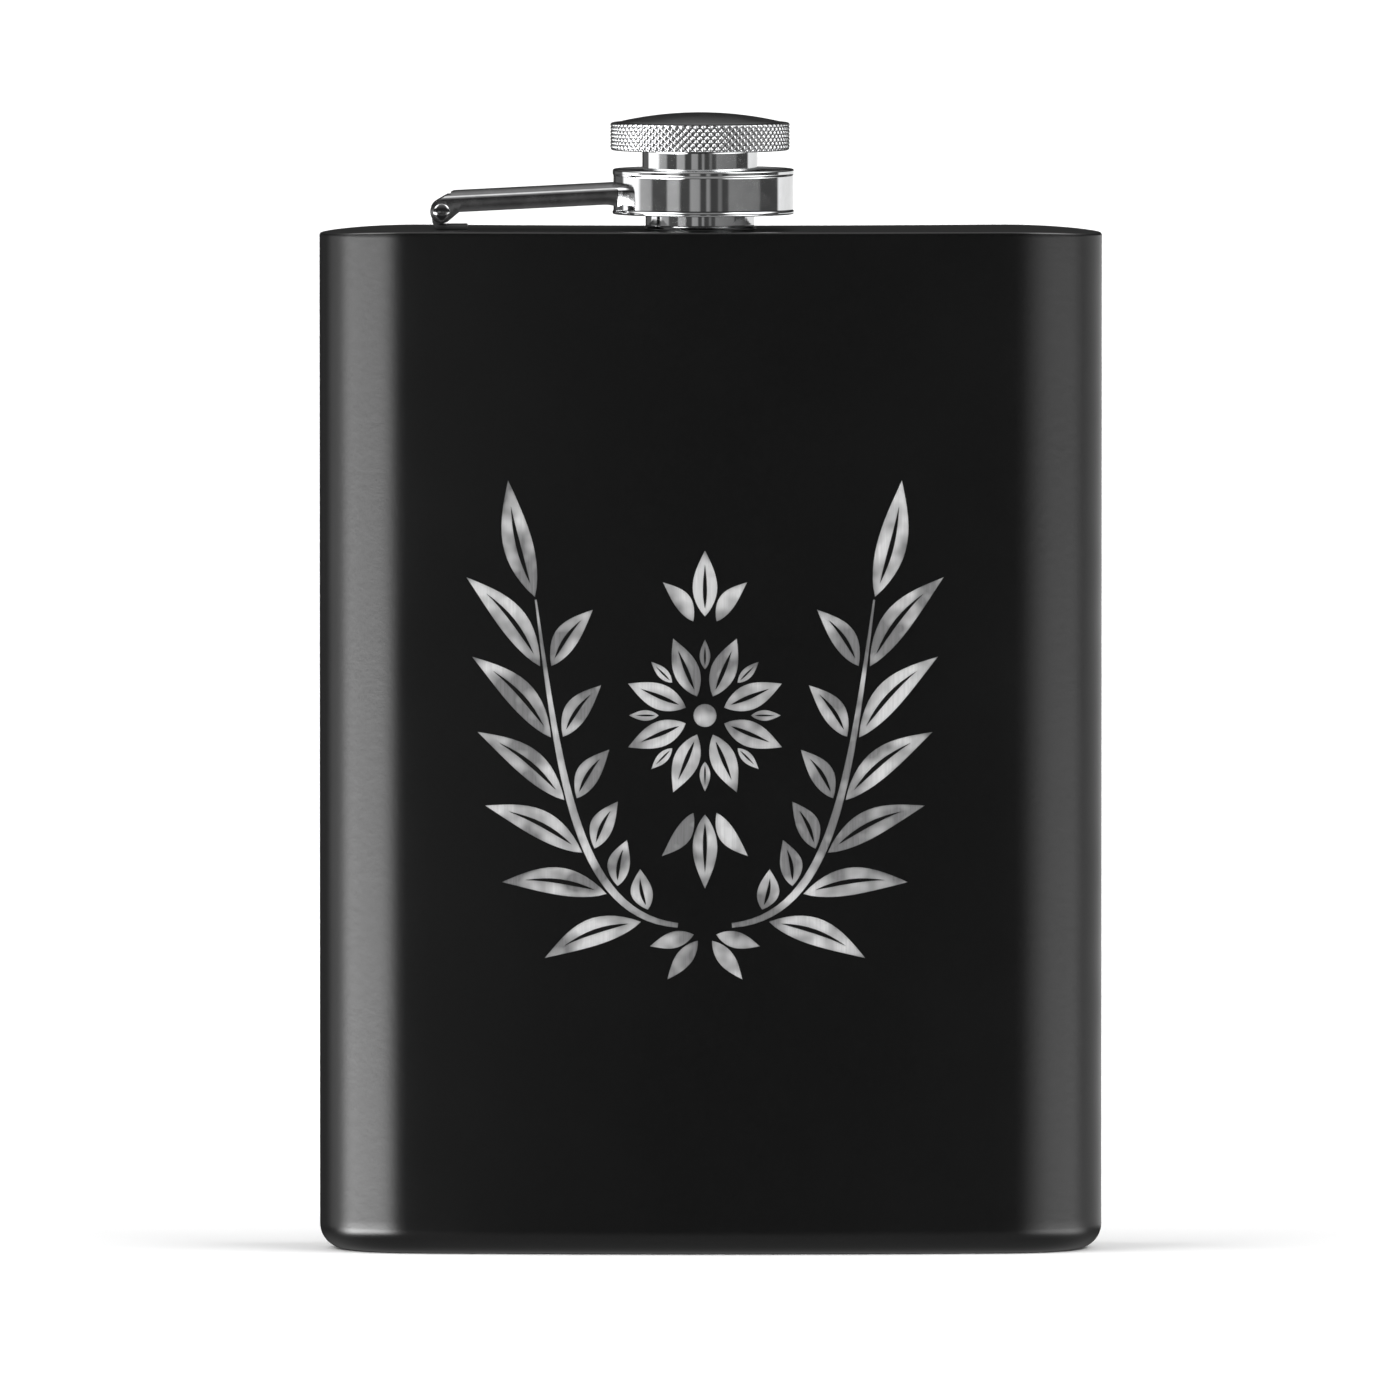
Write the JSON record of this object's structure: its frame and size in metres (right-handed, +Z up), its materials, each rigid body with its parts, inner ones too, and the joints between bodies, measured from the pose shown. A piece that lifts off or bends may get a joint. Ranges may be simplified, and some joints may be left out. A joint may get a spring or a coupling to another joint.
{
  "type": "hip flask",
  "caption": "Curved pocket flask with a coated steel body and a captive screw cap on a hinged arm.",
  "frame": {"origin": "centre of the body's footprint, on the surface that the flask stands on", "axes": "+Z up the body towards the cap, +X to the right seen from the front, -Y out of the convex front face"},
  "size_m": [0.095, 0.026, 0.1382],
  "materials": {
    "black_coat": "satin black powder coat on steel",
    "polished_steel": "polished stainless steel",
    "knurled_steel": "polished stainless steel with a diamond knurl on the rim",
    "silicone": "off-white silicone"
  },
  "bodies": {
    "flask": {"body_sleeve": "black_coat", "base_pan": "black_coat", "top_plate": "black_coat", "neck": "polished_steel", "hinge_bracket": "polished_steel", "hinge_pin": "polished_steel"},
    "arm": {"lid_arm": "polished_steel", "lid_ring": "polished_steel"},
    "cap_carriage": {"cap_retaining_washer": "polished_steel"},
    "cap": {"cap_core": "polished_steel", "cap_shell": "knurled_steel", "cap_seal": "silicone"}
  },
  "joints": [
    {"name": "arm_swing", "type": "hinge", "parent": "flask", "child": "arm", "pos_m": [-0.0326, -0.00175, 0.1262], "axis": [0, -1, 0], "range_deg": [0, 150]},
    {"name": "cap_lift", "type": "slide", "parent": "arm", "child": "cap_carriage", "axis": [0, 0, 1], "range_m": [0, 0.003]},
    {"name": "cap_unscrew", "type": "hinge", "parent": "cap_carriage", "child": "cap", "pos_m": [-0.0013, -0.00175, 0.126], "axis": [0, 0, 1], "range_deg": [0, 720]}
  ],
  "couplings": [
    {"joint": "cap_lift", "follows": "cap_unscrew", "m_per_rad": 0.00023873}
  ]
}
